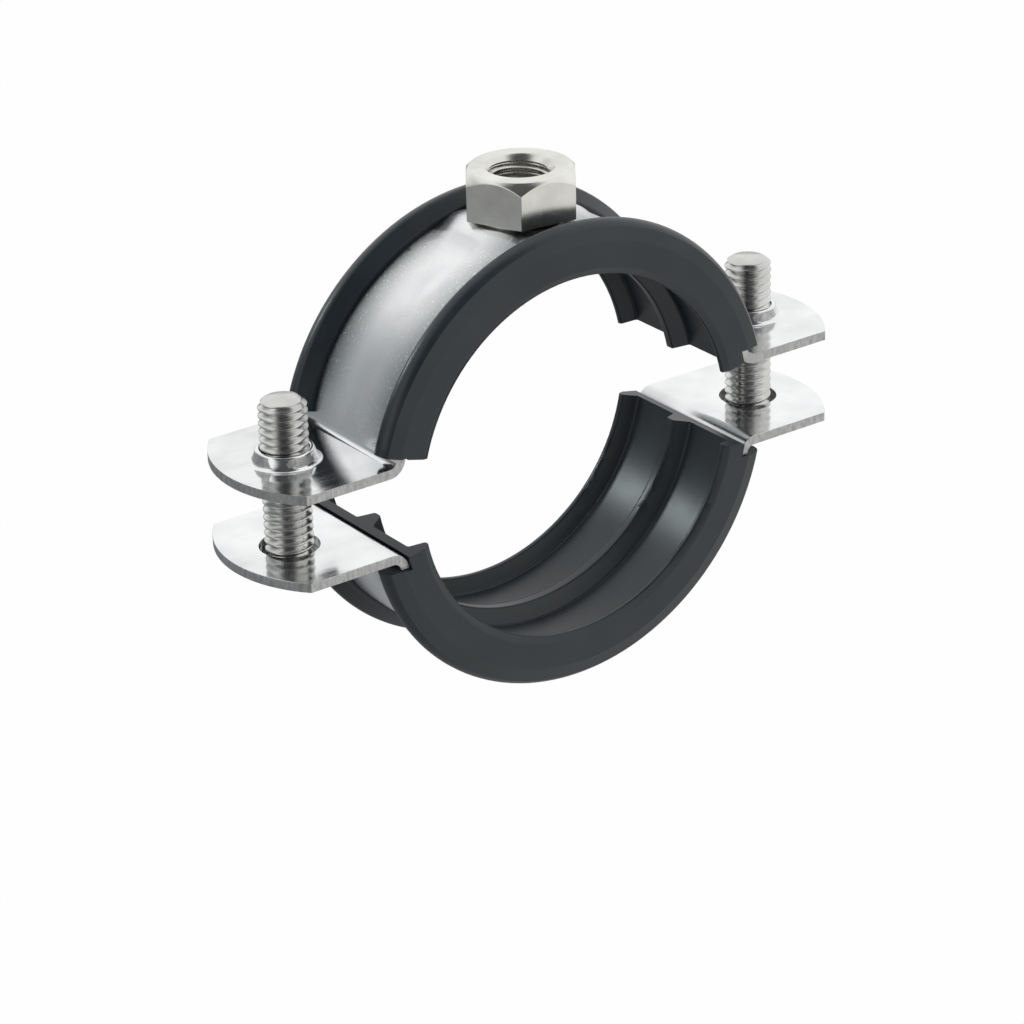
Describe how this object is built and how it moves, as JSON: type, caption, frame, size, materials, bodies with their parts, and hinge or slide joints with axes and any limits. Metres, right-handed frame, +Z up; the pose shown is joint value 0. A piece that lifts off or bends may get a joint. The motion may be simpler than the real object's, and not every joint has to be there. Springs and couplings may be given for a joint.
{
  "type": "rubber lined pipe clamp",
  "caption": "Two-piece steel pipe clamp with a ribbed rubber lining, a hexagon connection nut on top and clamping screws through its ears, standing open.",
  "frame": {"origin": "on the pipe's axis, midway along the clamp, at the centre of the upper half", "axes": "+X towards the right ear, +Y along the pipe away from the front, +Z up through the connection nut"},
  "size_m": [0.0858, 0.022, 0.064],
  "materials": {
    "zinc_steel": "bright rolled strip, satin on the bends",
    "black_rubber": "satin moulded rubber",
    "nut_steel": "satin turned and milled steel",
    "screw_steel": "bright rolled thread"
  },
  "bodies": {
    "upper_half": {"upper_strap": "zinc_steel", "upper_lining": "black_rubber", "connection_nut": "nut_steel"},
    "lower_half": {"lower_strap": "zinc_steel", "lower_lining": "black_rubber"},
    "left_screw_body": {"left_screw": "screw_steel"},
    "right_screw_body": {"right_screw": "screw_steel"}
  },
  "joints": [
    {"name": "lower_half_slide", "type": "slide", "parent": "upper_half", "child": "lower_half", "axis": [0, 0, 1], "range_m": [-0.006, 0.0095]},
    {"name": "left_screw_turn", "type": "hinge", "parent": "lower_half", "child": "left_screw_body", "pos_m": [-0.035, 0, 0], "axis": [0, 0, 1], "range_deg": [-2161, 3421]},
    {"name": "right_screw_turn", "type": "hinge", "parent": "lower_half", "child": "right_screw_body", "pos_m": [0.035, 0, 0], "axis": [0, 0, 1], "range_deg": [-2161, 3421]}
  ],
  "couplings": [
    {"joint": "left_screw_turn", "follows": "lower_half_slide", "rad_per_m": 6283.2},
    {"joint": "right_screw_turn", "follows": "lower_half_slide", "rad_per_m": 6283.2}
  ]
}
